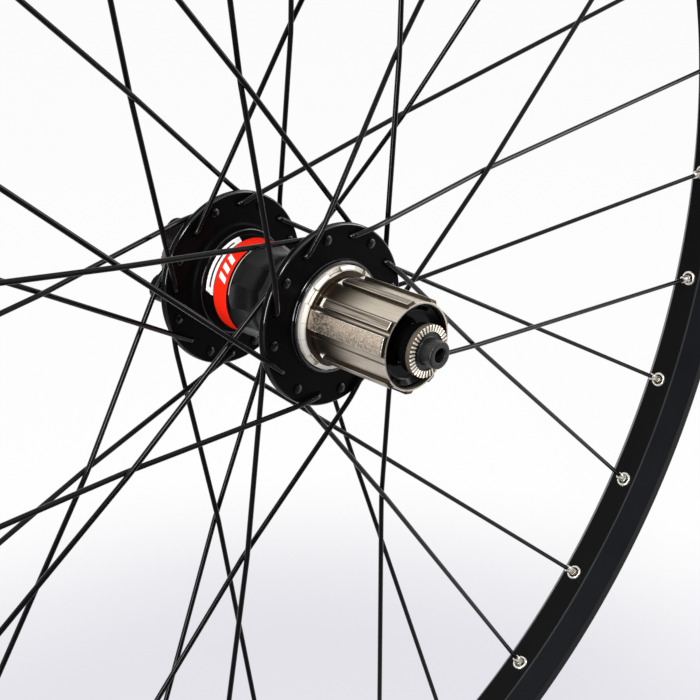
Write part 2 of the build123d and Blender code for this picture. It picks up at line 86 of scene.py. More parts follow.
def bare_finish(name, **values):
    # A material with its constant values on the shader's own sockets.
    material = bpy.data.materials.new(name)
    material.use_nodes = True
    shader = material.node_tree.nodes["Principled BSDF"]
    for socket, value in values.items():
        shader.inputs[socket.replace("_", " ")].default_value = value
    return material, material.node_tree, shader


def round_the_axle(tree):
    # Station and radius in millimetres, and angle in degrees as seen from the drive side.
    place = add(tree, "TexCoord").outputs["Object"]
    place = add(tree, "VectorMath", {0: place, "Scale": 1 / mm}, operation="SCALE").outputs[0]
    flat = add(tree, "VectorMath", {0: place, 1: (1, 0, 1)}, operation="MULTIPLY").outputs[0]
    radius = add(tree, "VectorMath", {0: flat}, operation="LENGTH").outputs["Value"]
    parts = add(tree, "SeparateXYZ", {0: place}).outputs
    angle = add(tree, "Math", {0: parts["Z"], 1: parts["X"]}, operation="ARCTAN2").outputs[0]
    angle = add(tree, "Math", {0: angle}, operation="DEGREES").outputs[0]
    return parts["Y"], radius, angle


def turned_lines(tree, size):
    # Lines round the axle, so many millimetres apart, as rolling, drawing or a lathe tool leaves them.
    # Real ones are finer, too fine to show in a picture.
    station, radius, _ = round_the_axle(tree)
    section = add(tree, "CombineXYZ", {"X": radius, "Y": station}).outputs[0]
    return add(tree, "TexNoise", {"Vector": section, "Scale": 1 / size, "Detail": 3}).outputs["Fac"]


def grain(tree, size, detail=2):
    # Even grain or mottling so many millimetres wide, as blasting, plating or moulding leaves it.
    # The finest is drawn coarser than it is, to show in a picture.
    place = add(tree, "TexCoord").outputs["Object"]
    return add(tree, "TexNoise", {"Vector": place, "Scale": 1 / (size * mm), "Detail": detail}).outputs["Fac"]


def between(tree, share, low, high):
    # A value that follows a pattern between two limits.
    limits = {"Value": share, "From Min": 0.3, "From Max": 0.7, "To Min": low, "To Max": high}
    return add(tree, "MapRange", limits).outputs["Result"]


def tinted(tree, share, first, second):
    # A colour that follows a pattern from one colour to another, each a hex value or a socket.
    first, second = (srgb(shade) if isinstance(shade, str) else shade for shade in (first, second))
    shades = {"Factor": share, 6: first, 7: second}
    return add(tree, "Mix", shades, data_type="RGBA").outputs[2]


def relief(tree, shader, pattern, height, strength=0.5):
    # The pattern raised from the surface by so many millimetres.
    values = {"Height": pattern, "Distance": height * mm, "Strength": strength}
    bump = add(tree, "Bump", values).outputs["Normal"]
    tree.links.new(bump, shader.inputs["Normal"])


def rounded(outline, steps=4):
    # An outline whose corners are drawn as short arcs.
    points = []
    for i, (r, y, rounding) in enumerate(outline):
        corner = Vector((r, y))
        back = Vector(outline[i - 1][:2]) - corner
        ahead = Vector(outline[(i + 1) % len(outline)][:2]) - corner
        if not rounding:
            points.append(corner)
            continue
        reach = rounding / math.tan(back.angle(ahead) / 2)
        reach = min(reach, 0.49 * back.length, 0.49 * ahead.length)
        start, end = corner + back.normalized() * reach, corner + ahead.normalized() * reach
        for s in range(steps + 1):
            t = s / steps
            points.append(start * (1 - t) ** 2 + corner * 2 * t * (1 - t) + end * t**2)
    return points


def lathe(made, outline, turns, hollow=False):
    # A closed outline of (radius, station) turned about the axle.
    area = sum(a[0] * b[1] - b[0] * a[1] for a, b in zip(outline, outline[1:] + outline[:1]))
    if (area < 0) != hollow:
        outline = outline[::-1]
    rings = []
    for i in range(turns):
        c, s = math.cos(math.tau * i / turns), math.sin(math.tau * i / turns)
        rings.append([made.verts.new((r * c * mm, y * mm, r * s * mm)) for r, y in outline])
    for i in range(turns):
        here, there = rings[i - 1], rings[i]
        for j in range(len(outline)):
            made.faces.new((here[j - 1], here[j], there[j], there[j - 1]))


def polar(radius, angle, y=0.0):
    # The point at a radius and an angle round the axle, and at a station along it.
    a = math.radians(angle)
    return Vector((radius * math.cos(a), y, radius * math.sin(a)))


def prism(made, sections):
    # Rings of points skinned into a closed solid.
    rings = [[made.verts.new(p * mm) for p in section] for section in sections]
    for low, high in zip(rings, rings[1:]):
        for j in range(len(low)):
            made.faces.new((low[j - 1], low[j], high[j], high[j - 1]))
    made.faces.new(rings[0][::-1])
    made.faces.new(rings[-1])


def circle(centre, heading, radius, sides):
    # Points round a centre, anticlockwise seen against the heading.
    across = heading.orthogonal().normalized()
    other = heading.normalized().cross(across)
    turn = [math.tau * i / sides for i in range(sides)]
    return [centre + (across * math.cos(a) + other * math.sin(a)) * radius for a in turn]


def piece_of(name, made, material, sharp=32):
    # A named object from a mesh, smooth but for edges sharper than the angle.
    mesh = bpy.data.meshes.new(name)
    made.to_mesh(mesh)
    made.free()
    mesh.polygons.foreach_set("use_smooth", [True] * len(mesh.polygons))
    mesh.set_sharp_from_angle(angle=math.radians(sharp))
    piece = bpy.data.objects.new(name, mesh)
    bpy.context.scene.collection.objects.link(piece)
    mesh.materials.append(material)
    return piece


def carve(piece, tools, sharp=32):
    # Cuts closed tool shapes out of a piece.
    tool = piece_of("tool", tools, piece.data.materials[0])
    cut = piece.modifiers.new("cut", "BOOLEAN")
    cut.operation, cut.solver, cut.object = "DIFFERENCE", "EXACT", tool
    bpy.context.view_layer.update()
    whole = piece.evaluated_get(bpy.context.evaluated_depsgraph_get())
    mesh = bpy.data.meshes.new_from_object(whole)
    piece.modifiers.clear()
    piece.data = mesh
    mesh.set_sharp_from_angle(angle=math.radians(sharp))
    bpy.data.objects.remove(tool)


def even_shading(piece):
    # Broad faces keep their own direction up to the rounded edges.
    weigh = piece.modifiers.new("even_shading", "WEIGHTED_NORMAL")
    weigh.keep_sharp = True


def place_piece(piece, slot, body, *stands_for):
    # Hides the nodes that a piece stands for and hangs it on the body that carries it; the finish slot is not
    # used.
    if stands_for:
        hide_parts(*stands_for)
    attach(piece, body)


# Black anodising over an extruded skin: satin black with faint lines round the hoop.
# The bed and the brushed walls are deep black, the slopes between them greyer, and a thin painted highlight
# runs along the bed's rounded edge.
rim_black, tree, shader = bare_finish("anodised_aluminium_black_rim", Metallic=0.0, Specular_IOR_Level=0.08)
lines = turned_lines(tree, 0.9)
_, radius, _ = round_the_axle(tree)
shade = tinted(tree, grain(tree, 35), "#060606", "#0a0a0a")
for start, depth, first, second in (
    # A thin lighter line on the bed's rounded edge: a painted highlight.
    (bed_r + 0.1, 0.1, "#323335", "#434446"),
    (bed_r + 0.5, 0.3, "#16171a", "#1f2022"),
    (flank_r - 0.6, 1.4, "#060606", "#0a0a0a"),
):
    share = {"Value": radius, "From Min": start, "From Max": start + depth}
    share = add(tree, "MapRange", share).outputs["Result"]
    shade = tinted(tree, share, shade, tinted(tree, grain(tree, 35), first, second))
tree.links.new(shade, shader.inputs["Base Color"])
tree.links.new(between(tree, lines, 0.30, 0.42), shader.inputs["Roughness"])
relief(tree, shader, lines, 0.02, 0.35)

made = bmesh.new()
lathe(made, rounded(rim_edges + [(r, -y, e) for r, y, e in reversed(rim_edges)]), 512)
lathe(made, rounded(rim_hollow + [(r, -y, e) for r, y, e in reversed(rim_hollow)]), 512, hollow=True)
rim = piece_of("rim_hoop", made, rim_black)
drills = bmesh.new()
for i in range(spoke_count):
    angle, side = first_rim_angle + rim_pitch * i, 1 - 2 * (i % 2)
    out = polar(1, angle)
    hole = polar(bed_r, angle, side * stagger)
    prism(drills, [circle(hole + out * d, out, spoke_hole_r, 24) for d in spoke_drill])
    access = polar(bed_r, angle)
    prism(drills, [circle(access + out * d, out, access_hole_r, 32) for d in access_drill])
valve_angle = first_rim_angle + rim_pitch * (spoke_count / 2 + 0.5)
out = polar(1, valve_angle)
hole = polar(bed_r, valve_angle)
prism(drills, [circle(hole + out * d, out, valve_hole_r, 40) for d in valve_drill])
carve(rim, drills)
even_shading(rim)
place_piece(rim, "rim_anodised", "wheel", "rim")

# Eyelets
# Pressed steel ferrules that line the spoke holes, so that the nipples don't cut into the rim.
# Their lips are rolled over on the bed and nickel plated.
eyelet_r, eyelet_lip, eyelet_gap = 3.6, 0.9, 0.04
eyelet_profile = [  # radius and height above the bed
    (spoke_hole_r, 0.0),
    (eyelet_r, 0.0),
    (eyelet_r, 0.2),
    (eyelet_r - 0.18, 0.55),
    (eyelet_r - 0.48, 0.8),
    (eyelet_r - 0.8, eyelet_lip),
    (eyelet_r - 1.05, eyelet_lip - 0.08),
    (spoke_hole_r, eyelet_lip - 0.3),
]

# Nickel plate on pressed steel: bright and warm, with faint pits that break the highlight.
eyelet_nickel, tree, shader = bare_finish("nickel_plated_steel_eyelet", Metallic=1.0)
tree.links.new(tinted(tree, grain(tree, 1.5), "#e0dcd4", "#fbf8f1"), shader.inputs["Base Color"])
tree.links.new(between(tree, grain(tree, 0.6), 0.26, 0.38), shader.inputs["Roughness"])
relief(tree, shader, grain(tree, 0.5), 0.02, 0.3)

made = bmesh.new()
for i in range(spoke_count):
    angle, side = first_rim_angle + rim_pitch * i, 1 - 2 * (i % 2)
    inward = polar(-1, angle)
    seat = polar(bed_r, angle, side * stagger) + inward * eyelet_gap
    rings = []
    for r, h in eyelet_profile:
        rings.append([made.verts.new(p * mm) for p in circle(seat + inward * h, inward, r, 24)])
    for low, high in zip(rings, rings[1:] + rings[:1]):
        for j in range(24):
            made.faces.new((low[j - 1], low[j], high[j], high[j - 1]))
eyelets = piece_of("eyelet_rings", made, eyelet_nickel, 50)
place_piece(eyelets, "eyelet_steel", "wheel", "eyelets")

# Spokes
# Drawn stainless wires with a forged head and a bend at the flange, threaded at the rim end.
# They are laced three-cross, sixteen to a flange, and each pair meets at its last crossing.
spoke_r, spoke_head_r, spoke_cross_gap, spoke_face_gap = 1.0, 1.85, 0.06, 0.2
head_stand, elbow_bend, soft_bend = 0.6, 2.0, 40.0
crossings, hub_turn = 3, -3.6
hub_pitch, flange_holes = 2 * rim_pitch, spoke_count // 2
hub_r, flange_r, flange_t = 29.5, 34.0, 3.0
flange_y = {-1: -19.7, 1: 34.8}
nipple_lift = 0.45
burnished_r = hub_r + 1.9


def is_outer(side, k):
    # Whether a wire lies along the outer face of its flange.
    return (k % 2 == 0) == (side < 0)


def turn(k):
    # 1 for a wire that leads anticlockwise from its hole, seen from the drive side, or -1.
    return 1 if k % 2 else -1


def hub_angle(side, k):
    # The angle of a wire's hole in its flange.
    phase = rim_pitch if side > 0 else 0
    return first_rim_angle + rim_pitch + crossings * hub_pitch + hub_turn + phase + k * hub_pitch


def elbow(side, k):
    # Where a wire bends, beside the face of its flange.
    face = side if is_outer(side, k) else -side
    return polar(hub_r, hub_angle(side, k), flange_y[side] + face * (flange_t / 2 + spoke_r + spoke_face_gap))


def spoke_seat(side, k):
    # Where a wire meets the rim's bed.
    angle = hub_angle(side, k) - hub_turn + turn(k) * crossings * hub_pitch
    return polar(bed_r, angle, side * stagger)


def last_crossing(side, k):
    # Where a wire passes its partner: the outer one goes under, just clear of it.
    partner = (k + turn(k) * (2 * crossings - 1)) % flange_holes
    start, end = elbow(side, k), spoke_seat(side, k)
    other_start, other_end = elbow(side, partner), spoke_seat(side, partner)
    run, other_run, lead = end - start, other_end - other_start, other_start - start
    span = run.x * other_run.z - run.z * other_run.x
    point = start + run * ((lead.x * other_run.z - lead.z * other_run.x) / span)
    other_point = other_start + other_run * ((lead.x * run.z - lead.z * run.x) / span)
    apart = side * (2 * spoke_r + spoke_cross_gap) / 2
    y = (point.y + other_point.y) / 2 - (apart if is_outer(side, k) else -apart)
    return Vector((point.x, y, point.z))


def spoke_route(side, k):
    # A wire's corners from head to tip; an outer one also bends at its flange's edge.
    bend, cross, seat = elbow(side, k), last_crossing(side, k), spoke_seat(side, k)
    face = 1 if bend.y > flange_y[side] else -1
    head = Vector((bend.x, flange_y[side] - face * (flange_t / 2 + head_stand), bend.z))
    tip = seat + (seat - cross).normalized() * (bed_wall + nipple_lift)
    if not is_outer(side, k):
        return [head, bend, cross, tip]
    run = Vector((cross.x - bend.x, 0, cross.z - bend.z)).normalized()
    along = bend.x * run.x + bend.z * run.z
    edge = bend + run * (math.sqrt(along**2 + (flange_r + spoke_r) ** 2 - hub_r**2) - along)
    return [head, bend, edge, cross, tip]


def bent_wire(made, route, bends, sides=12):
    # A forged head, then a round wire along the route, bent to its own radius at each corner.
    heading = (route[1] - route[0]).normalized()
    forged = [(-0.38, 0.35), (-0.34, 0.8), (-0.2, 1.35), (0.0, 1.72)]  # distance and radius
    forged += [(0.12, spoke_head_r), (0.25, spoke_head_r - 0.03), (0.9, spoke_r + 0.03)]
    path = [(route[0] + heading * d, r) for d, r in forged]
    for i in range(1, len(route) - 1):
        back, ahead = route[i - 1] - route[i], route[i + 1] - route[i]
        reach = bends[i - 1] * math.tan((math.pi - back.angle(ahead)) / 2)
        start, end = route[i] + back.normalized() * reach, route[i] + ahead.normalized() * reach
        for s in range(9):
            t = s / 8
            path.append((start * (1 - t) ** 2 + route[i] * 2 * t * (1 - t) + end * t**2, spoke_r))
    path.append((route[-1], spoke_r))
    across = heading.orthogonal().normalized()
    sections = []
    for i, (point, radius) in enumerate(path):
        before = path[max(i - 1, 0)][0]
        after = path[min(i + 1, len(path) - 1)][0]
        ahead = ((after - point).normalized() + (point - before).normalized()).normalized()
        across = (across - ahead * across.dot(ahead)).normalized()
        other = ahead.cross(across)
        angles = [math.tau * j / sides for j in range(sides)]
        sections.append([point + (across * math.cos(a) + other * math.sin(a)) * radius for a in angles])
    prism(made, sections)


# Black oxide on drawn stainless wire: dark and fairly glossy, faintly mottled.
spoke_black, tree, shader = bare_finish("black_oxide_stainless_wire", Metallic=0.0, Specular_IOR_Level=0.2)
tree.links.new(tinted(tree, grain(tree, 6), "#070708", "#0e0e0f"), shader.inputs["Base Color"])
tree.links.new(between(tree, grain(tree, 2.5), 0.12, 0.17), shader.inputs["Roughness"])
relief(tree, shader, grain(tree, 0.5), 0.01, 0.1)

# The forged heads and bends are burnished by the lacing tool, so they catch small bright glints.
head_black, tree, shader = bare_finish("black_oxide_burnished", Metallic=0.0, Specular_IOR_Level=0.4)
tree.links.new(tinted(tree, grain(tree, 2), "#060606", "#0b0b0b"), shader.inputs["Base Color"])
tree.links.new(between(tree, grain(tree, 0.5), 0.10, 0.18), shader.inputs["Roughness"])
relief(tree, shader, grain(tree, 0.4), 0.01, 0.2)

for label, side, first in (
    ("drive_outer", -1, 0),
    ("drive_inner", -1, 1),
    ("left_outer", 1, 1),
    ("left_inner", 1, 0),
):
    made = bmesh.new()
    for k in range(first, flange_holes, 2):
        route = spoke_route(side, k)
        bent_wire(made, route, [elbow_bend] + [soft_bend] * (len(route) - 3))
    spokes = piece_of(f"wires_{label}", made, spoke_black, 50)
    spokes.data.materials.append(head_black)
    for face in spokes.data.polygons:
        x, _, z = face.center / mm
        if math.hypot(x, z) < burnished_r:
            face.material_index = 1
    place_piece(spokes, "spoke_black", "wheel", f"spokes_{label}")

# Nipples
# Turned and milled brass nuts on the spokes' threads, nickel plated, with a square for the key.
# Their round heads sit inside the rim and pull on the eyelets.
nipple_half, nipple_out, nipple_head_r, nipple_head_h = 1.6, 6.8, 2.8, 1.9

# Nickel plate on brass: bright silver with a warm tone, softer than the eyelets.
nipple_nickel, tree, shader = bare_finish("nickel_plated_brass_nipple", Metallic=1.0)
tree.links.new(tinted(tree, grain(tree, 1.2), "#e6e0d4", "#fffaf0"), shader.inputs["Base Color"])
tree.links.new(between(tree, grain(tree, 0.5), 0.30, 0.42), shader.inputs["Roughness"])
relief(tree, shader, grain(tree, 0.4), 0.02, 0.3)


def shank(centre, heading, half, roundness):
    # A square with rounded corners, or a circle where the roundness is 1.
    across = Vector((0, 1, 0)) - heading * heading.y
    across.normalize()
    other = heading.cross(across)
    points = []
    for i in range(16):
        a = math.tau * (i + 0.5) / 16
        c, s = math.cos(a), math.sin(a)
        reach = min(half / max(abs(c), abs(s)), half * 1.18)
        reach = reach * (1 - roundness) + half * roundness
        points.append(centre + (across * c + other * s) * reach)
    return points


made = bmesh.new()
for side in (-1, 1):
    for k in range(flange_holes):
        seat = spoke_seat(side, k)
        heading = (seat - last_crossing(side, k)).normalized()
        inner = bed_wall + nipple_lift
        stack = [  # distance from the bed, half width and roundness
            (-nipple_out, 1.05, 1),
            (-nipple_out, 1.25, 1),
            (-nipple_out + 0.25, 1.5, 1),
            (-nipple_out + 0.8, nipple_half, 0.5),
            (-nipple_out + 1.2, nipple_half, 0),
            (-1.3, nipple_half, 0),
            (-0.8, 1.7, 0.8),
            (inner, 1.85, 1),
            (inner, nipple_head_r - 0.2, 1),
            (inner + 0.3, nipple_head_r, 1),
            (inner + nipple_head_h - 0.6, nipple_head_r, 1),
            (inner + nipple_head_h - 0.15, nipple_head_r - 0.5, 1),
            (inner + nipple_head_h, 1.4, 1),
        ]
        prism(made, [shank(seat + heading * d, heading, half, r) for d, half, r in stack])
nipples = piece_of("nipple_nuts", made, nipple_nickel, 40)
place_piece(nipples, "nipple_brass", "wheel", "nipples")

# Hub shell
# One aluminium forging, turned and drilled, then black anodised: barrel, flanges and rotor mount.
# Twelve scoops milled across the barrel leave a ring of petals, and a band is printed beside them.
flange_half = flange_t / 2
left_inner, left_outer = flange_y[1] - flange_half, flange_y[1] + flange_half
drive_inner, drive_outer = flange_y[-1] + flange_half, flange_y[-1] - flange_half
barrel_r, collar_r, boss_r, lip_r, neck_r, spigot_r = 18.0, 20.5, 20.8, 20.8, 19.5, 17.4
collar_end, sweep_start, sweep_end, lip_end = left_inner - 4.6, -3.2, -9.2, -23.0
ratchet_seat_r, shoulder_r, bearing_seat_r, through_r = 18.62, 16.0, 12.02, 9.8
ratchet_stop, drive_seat, drive_seat_end = -10.5, -9.1, -2.5
left_seat, neck_end, spigot_end = 45.0, 48.2, 53.6
shell_outline = [  # radius, station and rounding of each corner
    (collar_r, collar_end, 0.5),
    (barrel_r, collar_end, 0.8),
    (barrel_r, sweep_start, 5.0),
    (boss_r, sweep_end, 5.0),
    (boss_r, drive_inner, 3.0),
    (flange_r, drive_inner, 0.9),
    (flange_r, drive_outer, 0.9),
    (lip_r, drive_outer, 1.3),
    (lip_r, lip_end, 0.45),
    (lip_r - 1.0, lip_end, 0.4),
    (lip_r - 1.0, drive_outer, 0.2),
    (ratchet_seat_r, drive_outer, 0.2),
    (ratchet_seat_r, ratchet_stop, 0),
    (shoulder_r, ratchet_stop, 0),
    (shoulder_r, drive_seat, 0),
    (bearing_seat_r, drive_seat, 0),
    (bearing_seat_r, drive_seat_end, 0),
    (through_r, drive_seat_end, 0),
    (through_r, left_seat, 0),
    (bearing_seat_r, left_seat, 0),
    (bearing_seat_r, spigot_end, 0.3),
    (spigot_r, spigot_end, 0.5),
    (spigot_r, neck_end, 0),
    (neck_r, neck_end, 0),
    (neck_r, left_outer, 1.5),
    (flange_r, left_outer, 0.9),
    (flange_r, left_inner, 0.9),
    (collar_r, left_inner, 3.0),
]
flute_count, flute_r, flute_depth, flute_y, flute_angle, flute_reach = 12, 16.0, 2.2, 8.0, 142.0, 8.0
flange_hole_r, band_start, bar_slant, bar_pitch = 1.3, 17.6, 1.6, 12.0
rotor_face, rotor_lobe_t, rotor_lobe_r = 52.2, 8.0, 5.4
rotor_pcd_r, rotor_bolt_r, rotor_bolt_depth = 22.0, 2.1, 7.0
rotor_angles = [7.0 + 60 * i for i in range(6)]


def inside(tree, *limits):
    # 1 where each value lies between its two limits, else 0.
    share = 1.0
    for value, low, high in limits:
        band = {0: value, 1: (low + high) / 2, 2: (high - low) / 2}
        band = add(tree, "Math", band, operation="COMPARE").outputs[0]
        share = add(tree, "Math", {0: share, 1: band}, operation="MULTIPLY").outputs[0]
    return share


# Black anodising on turned aluminium: a deep, nearly matt black, with faint rings from the tool.
# The print is a red band with three white bars, a white field with a dark stripe, and a pin line.
hub_black, tree, shader = bare_finish("anodised_aluminium_black_hub", Metallic=0.0, Specular_IOR_Level=0.03)
marks = turned_lines(tree, 0.5)
station, _, angle = round_the_axle(tree)
slant = add(tree, "Math", {0: station, 1: bar_slant, 2: angle}, operation="MULTIPLY_ADD").outputs[0]
gaps = add(tree, "Math", {0: slant, 1: bar_pitch}, operation="MODULO").outputs[0]
print_shade = tinted(tree, grain(tree, 12), "#070707", "#0c0c0d")
for code, *limits in (  # each colour, and the limits that it fills
    ("#ff2a16", (station, band_start, 24.7)),
    ("#fbfaf8", (station, 19.2, 23.2), (slant, 160, 196), (gaps, 5.0, bar_pitch)),
    ("#fcfbf9", (station, 25.0, 28.6), (slant, 140, 222)),
    ("#17171a", (station, 26.4, 27.3), (slant, 150, 214)),
    ("#b9b8b4", (station, 16.1, 16.5), (angle, 95, 172)),
):
    print_shade = tinted(tree, inside(tree, *limits), print_shade, code)
tree.links.new(print_shade, shader.inputs["Base Color"])
tree.links.new(between(tree, marks, 0.26, 0.40), shader.inputs["Roughness"])
relief(tree, shader, marks, 0.02, 0.2)

# The same black where the tool left it bright, on the lip and the rounded rims: it flashes.
polish = {"Specular_IOR_Level": 0.7, "Coat_Weight": 0.4}
hub_gloss, tree, shader = bare_finish("anodised_aluminium_black_polished", **polish)
marks = turned_lines(tree, 0.6)
tree.links.new(tinted(tree, grain(tree, 9), "#060606", "#0b0b0c"), shader.inputs["Base Color"])
tree.links.new(between(tree, marks, 0.07, 0.15), shader.inputs["Roughness"])
relief(tree, shader, marks, 0.01, 0.2)

# The barrel from the band to the drive flange is brushed before anodising: black with a silky grey sheen.
hub_satin, tree, shader = bare_finish("anodised_aluminium_black_brushed", Specular_IOR_Level=0.24)
marks = turned_lines(tree, 0.4)
tree.links.new(tinted(tree, grain(tree, 9), "#060606", "#0a0a0a"), shader.inputs["Base Color"])
tree.links.new(between(tree, marks, 0.24, 0.36), shader.inputs["Roughness"])
relief(tree, shader, marks, 0.01, 0.3)

made = bmesh.new()
lathe(made, rounded(shell_outline, 6), 240)
hub = piece_of("hub_forging", made, hub_black, 20)
hub.data.materials.append(hub_gloss)
hub.data.materials.append(hub_satin)
for first in (0, 1):
    mills = bmesh.new()
    for i in range(first, flute_count, 2):
        angle = flute_angle + 360 / flute_count * i
        tangent = polar(1, angle + 90)
        axis_place = polar(barrel_r - flute_depth + flute_r, angle, flute_y)
        ends = [axis_place - tangent * flute_reach, axis_place + tangent * flute_reach]
        prism(mills, [circle(end, tangent, flute_r, 128) for end in ends])
    carve(hub, mills, 20)
drills = bmesh.new()
axle_way = Vector((0, 1, 0))
for side in (-1, 1):
    for k in range(flange_holes):
        hole = polar(hub_r, hub_angle(side, k), flange_y[side])
        ends = [hole - axle_way * flange_t, hole + axle_way * flange_t]
        prism(drills, [circle(end, axle_way, flange_hole_r, 16) for end in ends])
carve(hub, drills, 20)
for face in hub.data.polygons:
    x, y, z = face.center / mm
    radius = math.hypot(x, z)
    on_lip = y < drive_outer - 0.3 and radius < lip_r + 1.5
    on_rim = radius > flange_r - 0.8 and 0.1 < abs(face.normal.y) < 0.97
    on_collar = flute_y < y < collar_end + 0.6 and collar_r - 0.45 < radius < collar_r
    if on_lip or on_rim or on_collar:
        face.material_index = 1
    elif drive_inner + 1 < y < band_start - 0.2 and through_r + 1 < radius < boss_r + 0.5:
        face.material_index = 2
even_shading(hub)

# The rotor mount's six lobes stand on the neck, each with a blind bolt hole.
# The outline goes round each lobe's end and through the hollow to the next, and its edges are chamfered.
made = bmesh.new()
star = []
for lobe in rotor_angles:
    centre = polar(rotor_pcd_r, lobe)
    for s in range(13):
        star.append(centre + polar(rotor_lobe_r, lobe - 90 + 15 * s))
    for s in range(5):
        star.append(polar(neck_r + 0.6 - 0.5 * math.sin(math.pi * s / 4), lobe + 22 + 4 * s))
low, high = rotor_face - rotor_lobe_t, rotor_face
star = star[::-1]
levels = [(low, 0.94), (low + 0.5, 1.0), (high - 0.5, 1.0), (high, 0.975)]
prism(made, [[Vector((p.x * s, y, p.z * s)) for p in star] for y, s in levels])
mount = piece_of("rotor_mount", made, hub_black)
drills = bmesh.new()
for lobe in rotor_angles:
    hole = polar(rotor_pcd_r, lobe, rotor_face)
    prism(drills, [circle(hole + axle_way * d, axle_way, rotor_bolt_r, 24) for d in (-rotor_bolt_depth, 1)])
bore = axle_way * rotor_face
prism(drills, [circle(bore + axle_way * d, axle_way, spigot_r - 1.5, 64) for d in (-rotor_lobe_t - 1, 1)])
carve(mount, drills)
even_shading(mount)
place_piece(hub, "hub_anodised", "wheel", "hub_shell")
place_piece(mount, "hub_anodised", "wheel")

# Ratchet, pawls and springs
# Hardened tool-steel ring and pawls, ground on the working faces, with flat spring-steel leaves.
# The ring is pressed into the shell, and the pawls sit in the freehub's pockets.


def dress(node, material):
    # Gives a CAD node that stays as it is its finish.
    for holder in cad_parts[node].material_slots:
        holder.material = material


# Ground tool steel: mid grey, with a soft gleam that a fine grain breaks up.
hard_steel, tree, shader = bare_finish("hardened_tool_steel", Metallic=1.0)
tree.links.new(tinted(tree, grain(tree, 3), "#77757a", "#93918f"), shader.inputs["Base Color"])
tree.links.new(between(tree, grain(tree, 0.3), 0.26, 0.40), shader.inputs["Roughness"])
relief(tree, shader, grain(tree, 0.25), 0.02, 0.3)
for node in ("ratchet_ring", "pawl_1", "pawl_2", "pawl_3", "pawl_springs"):
    dress(node, hard_steel)

# Freehub seal
# A moulded nitrile rubber ring that keeps the grease in and the rain out.
# It sits between the shell and the freehub.

# Moulded rubber: dull black, with next to no highlight.
seal_rubber, tree, shader = bare_finish("nitrile_rubber_moulded", Metallic=0.0, IOR=1.52)
tree.links.new(tinted(tree, grain(tree, 2), "#161616", "#232323"), shader.inputs["Base Color"])
tree.links.new(between(tree, grain(tree, 0.3), 0.55, 0.75), shader.inputs["Roughness"])
relief(tree, shader, grain(tree, 0.3), 0.03, 0.4)
dress("freehub_seal", seal_rubber)

# Bearings
# Sealed cartridge bearings with ground chrome-steel races.
# Two are pressed into the shell and two into the freehub.

# Ground bearing steel: pale and bright, with fine rings that draw the highlight out.
race_steel, tree, shader = bare_finish("bearing_steel_ground", Metallic=1.0)
marks = turned_lines(tree, 0.25)
tree.links.new(tinted(tree, grain(tree, 5), "#a9a8a6", "#c4c3c0"), shader.inputs["Base Color"])
tree.links.new(between(tree, marks, 0.14, 0.28), shader.inputs["Roughness"])
relief(tree, shader, marks, 0.01, 0.3)
for bearing in ("hub_left", "hub_drive", "freehub_inner", "freehub_outer"):
    dress(f"{bearing}_bearing_inner", race_steel)
    dress(f"{bearing}_bearing_outer", race_steel)

# Axle and spacers
# A drawn aluminium tube with turned seats for the bearings.
# Plain turned sleeves on it keep the bearings apart.

# Turned bare aluminium: silver, a little cool, with rings from the tool.
bare_alloy, tree, shader = bare_finish("aluminium_turned", Metallic=1.0)
marks = turned_lines(tree, 0.4)
tree.links.new(tinted(tree, grain(tree, 8), "#b4b5b7", "#cbccce"), shader.inputs["Base Color"])
tree.links.new(between(tree, marks, 0.22, 0.38), shader.inputs["Roughness"])
relief(tree, shader, marks, 0.02, 0.4)
for node in ("axle", "hub_spacer", "freehub_spacer"):
    dress(node, bare_alloy)

# End caps
# Turned aluminium caps on the axle's ends, black anodised; their stubs drop into the frame.
# A collar on each backs the serrated ring, and the left one shields its bearing.
cap_in_r, cap_r, cap_collar_r, stub_r, skewer_r = 6.02, 7.0, 9.0, 4.95, 2.6
collar_start, ring_back, cap_face, stub_end, cap_socket = 61.5, 65.1, 66.7, 72.5, 62.7
drive_cap_start, left_cap_start, shield_start, shield_end, shield_r = 56.5, 51.0, 51.6, 52.8, 11.5
cap_end = [
    (cap_r, collar_start, 0.3),
    (cap_collar_r, collar_start, 0.5),
    (cap_collar_r, ring_back, 0.2),
    (cap_r, ring_back, 0),
    (cap_r, cap_face, 0.3),
    (stub_r, cap_face, 0.4),
    (stub_r, stub_end, 0.5),
    (skewer_r, stub_end, 0.35),
    (skewer_r, cap_socket, 0),
    (cap_in_r, cap_socket, 0),
]

# Black anodising on a turned cap: charcoal, with rings from the tool and a soft sheen.
cap_black, tree, shader = bare_finish("anodised_aluminium_black_cap", Metallic=0.0, Specular_IOR_Level=0.6)
marks = turned_lines(tree, 0.5)
tree.links.new(tinted(tree, grain(tree, 4), "#0f0f10", "#1a1a1b"), shader.inputs["Base Color"])
tree.links.new(between(tree, marks, 0.28, 0.42), shader.inputs["Roughness"])
relief(tree, shader, marks, 0.02, 0.35)


def darken_collar_as_shade(cap):
    # The collar and sleeve behind the ring take the hub's deeper black as painted shade, where they sit in
    # shadow behind the ring.
    cap.data.materials.append(hub_black)
    for face in cap.data.polygons:
        if abs(face.center.y) < ring_back * mm:
            face.material_index = 1


made = bmesh.new()
outline = [(cap_in_r, drive_cap_start, 0), (cap_r, drive_cap_start, 0.2), *cap_end]
lathe(made, [Vector((r, -y)) for r, y in rounded(outline)], 96)
drive_cap = piece_of("axle_cap_drive", made, cap_black)
darken_collar_as_shade(drive_cap)
even_shading(drive_cap)
place_piece(drive_cap, "cap_black", "axle", "end_cap_drive")
made = bmesh.new()
outline = [
    (cap_in_r, left_cap_start, 0),
    (cap_r, left_cap_start, 0),
    (cap_r, shield_start, 0),
    (shield_r, shield_start, 0.3),
    (shield_r, shield_end, 0.4),
    (cap_r, shield_end, 0.3),
    *cap_end,
]
lathe(made, rounded(outline), 96)
left_cap = piece_of("axle_cap_left", made, cap_black)
darken_collar_as_shade(left_cap)
even_shading(left_cap)
place_piece(left_cap, "cap_black", "axle", "end_cap_left")

